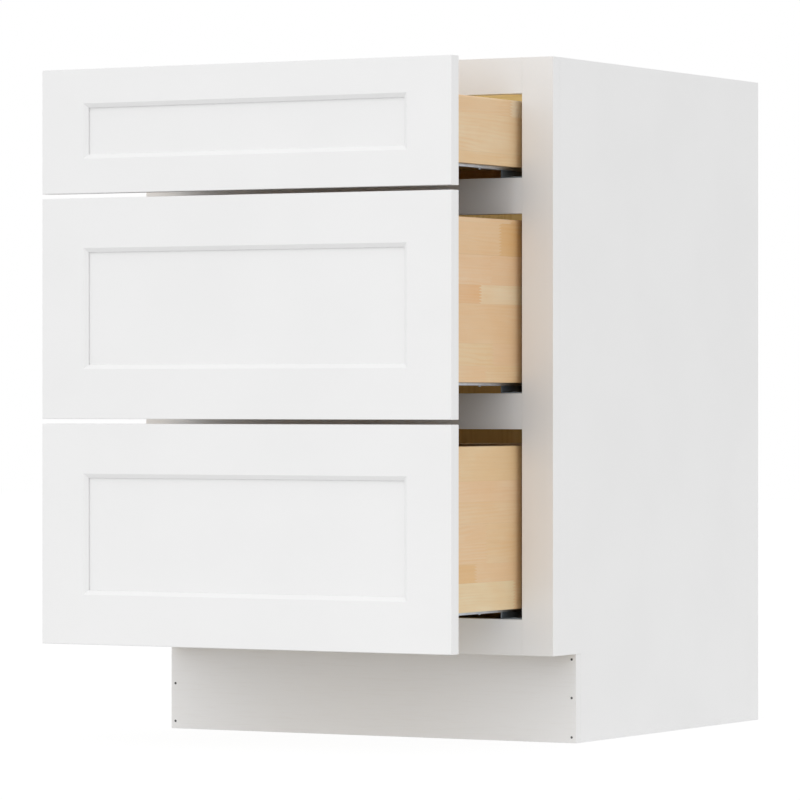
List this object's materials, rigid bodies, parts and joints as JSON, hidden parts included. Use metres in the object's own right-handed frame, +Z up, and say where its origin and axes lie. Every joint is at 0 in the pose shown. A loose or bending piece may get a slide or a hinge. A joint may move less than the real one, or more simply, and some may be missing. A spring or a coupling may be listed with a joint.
{
  "type": "base cabinet with drawers",
  "caption": "White face-frame base cabinet with a recessed toe space and wooden drawers on undermount slides, each pulled part way out behind a framed front with a flat centre panel.",
  "frame": {"origin": "on the floor, at the middle of the width and of the depth that the cabinet takes with its drawers pulled out as stored", "axes": "+Z up; +X to the cabinet's right seen from the front; the drawers open along -Y and the back is +Y"},
  "size_m": [0.6096, 0.8682, 0.8763],
  "materials": {
    "white_paint": "satin white paint",
    "toe_board_paint": "matt white foil",
    "maple_interior": "natural maple veneer, clear coated",
    "maple_drawer": "edge-glued, finger-jointed pale strips, clear coated",
    "plywood": "clear-coated birch plywood",
    "zinc_steel": "zinc plated",
    "dark_steel": "zinc plated, dark",
    "clip_plastic": "moulded grey"
  },
  "bodies": {
    "cabinet": {"side_panel_left": "white_paint", "side_panel_right": "white_paint", "corner_brace_left": "plywood", "corner_brace_right": "plywood", "deck_panel": "maple_interior", "back_panel": "maple_interior", "back_nailer": "maple_interior", "toe_kick_board": "toe_board_paint", "stile_left": "white_paint", "stile_right": "white_paint", "rail_top": "white_paint", "rail_upper": "white_paint", "rail_lower": "white_paint", "rail_bottom": "white_paint", "slide_cabinet_member_top_left": "dark_steel", "slide_cabinet_member_top_right": "dark_steel", "slide_cabinet_member_middle_left": "dark_steel", "slide_cabinet_member_middle_right": "dark_steel", "slide_cabinet_member_bottom_left": "dark_steel", "slide_cabinet_member_bottom_right": "dark_steel"},
    "drawer_top": {"front_frame_top": "white_paint", "front_panel_top": "white_paint", "box_front_top": "maple_drawer", "box_back_top": "maple_drawer", "box_bottom_top": "plywood", "box_side_top_left": "maple_drawer", "box_side_top_right": "maple_drawer", "slide_drawer_member_top_left": "zinc_steel", "slide_drawer_member_top_right": "zinc_steel", "locking_clip_top_left": "clip_plastic", "locking_clip_top_right": "clip_plastic"},
    "middle_members_top": {"slide_middle_member_top_left": "zinc_steel", "slide_middle_member_top_right": "zinc_steel"},
    "drawer_middle": {"front_frame_middle": "white_paint", "front_panel_middle": "white_paint", "box_front_middle": "maple_drawer", "box_back_middle": "maple_drawer", "box_bottom_middle": "plywood", "box_side_middle_left": "maple_drawer", "box_side_middle_right": "maple_drawer", "slide_drawer_member_middle_left": "zinc_steel", "slide_drawer_member_middle_right": "zinc_steel", "locking_clip_middle_left": "clip_plastic", "locking_clip_middle_right": "clip_plastic"},
    "middle_members_middle": {"slide_middle_member_middle_left": "zinc_steel", "slide_middle_member_middle_right": "zinc_steel"},
    "drawer_bottom": {"front_frame_bottom": "white_paint", "front_panel_bottom": "white_paint", "box_front_bottom": "maple_drawer", "box_back_bottom": "maple_drawer", "box_bottom_bottom": "plywood", "box_side_bottom_left": "maple_drawer", "box_side_bottom_right": "maple_drawer", "slide_drawer_member_bottom_left": "zinc_steel", "slide_drawer_member_bottom_right": "zinc_steel", "locking_clip_bottom_left": "clip_plastic", "locking_clip_bottom_right": "clip_plastic"},
    "middle_members_bottom": {"slide_middle_member_bottom_left": "zinc_steel", "slide_middle_member_bottom_right": "zinc_steel"}
  },
  "joints": [
    {"name": "drawer_top_slide", "type": "slide", "parent": "cabinet", "child": "drawer_top", "axis": [0, -1, 0], "range_m": [-0.238, 0.292]},
    {"name": "middle_members_top_slide", "type": "slide", "parent": "cabinet", "child": "middle_members_top", "axis": [0, -1, 0], "range_m": [-0.1191, 0.1461]},
    {"name": "drawer_middle_slide", "type": "slide", "parent": "cabinet", "child": "drawer_middle", "axis": [0, -1, 0], "range_m": [-0.238, 0.292]},
    {"name": "middle_members_middle_slide", "type": "slide", "parent": "cabinet", "child": "middle_members_middle", "axis": [0, -1, 0], "range_m": [-0.1191, 0.1461]},
    {"name": "drawer_bottom_slide", "type": "slide", "parent": "cabinet", "child": "drawer_bottom", "axis": [0, -1, 0], "range_m": [-0.238, 0.292]},
    {"name": "middle_members_bottom_slide", "type": "slide", "parent": "cabinet", "child": "middle_members_bottom", "axis": [0, -1, 0], "range_m": [-0.1191, 0.1461]}
  ],
  "couplings": [
    {"joint": "middle_members_top_slide", "follows": "drawer_top_slide", "ratio": 0.5},
    {"joint": "middle_members_middle_slide", "follows": "drawer_middle_slide", "ratio": 0.5},
    {"joint": "middle_members_bottom_slide", "follows": "drawer_bottom_slide", "ratio": 0.5}
  ]
}
